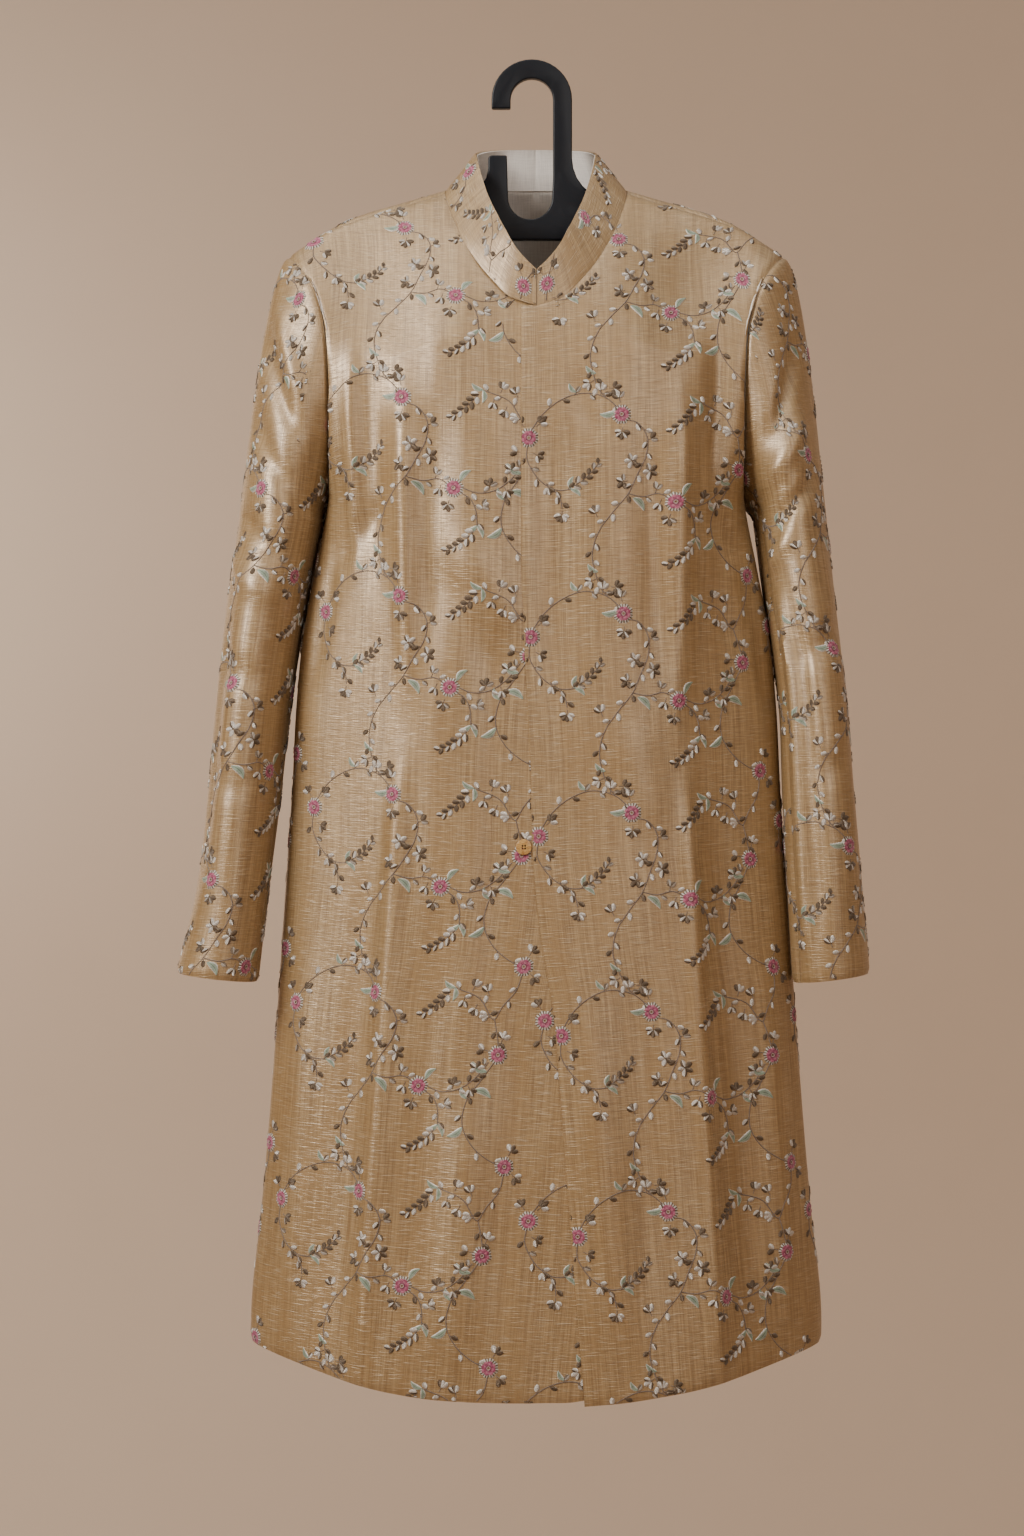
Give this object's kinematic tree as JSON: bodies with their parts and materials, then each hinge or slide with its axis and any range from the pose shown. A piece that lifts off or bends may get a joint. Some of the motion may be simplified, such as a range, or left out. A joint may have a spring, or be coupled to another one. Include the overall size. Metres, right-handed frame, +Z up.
{
  "type": "sherwani coat on a clothes hanger",
  "caption": "Long stand-collar sherwani coat in gold slub silk with floral vine embroidery, closed and hanging on a plastic clothes hanger.",
  "frame": {"origin": "inner crown of the hanger's hook, where a rod carries it", "axes": "+Z up, the coat's front faces -Y, +X to the wearer's left"},
  "size_m": [0.6425, 0.251, 1.2469],
  "materials": {
    "silk": "champagne gold slub silk with embroidered vines",
    "lining": "pale grey-beige satin",
    "horn": "polished amber horn",
    "plastic": "charcoal black moulded plastic"
  },
  "bodies": {
    "root": {"front_left": "silk", "front_right": "silk", "back": "silk", "sleeve_left_top": "silk", "sleeve_left_under": "silk", "sleeve_right_top": "silk", "sleeve_right_under": "silk", "collar": "silk", "collar_lining": "lining", "back_lining": "lining", "button": "horn", "hanger": "plastic"}
  },
  "joints": []
}
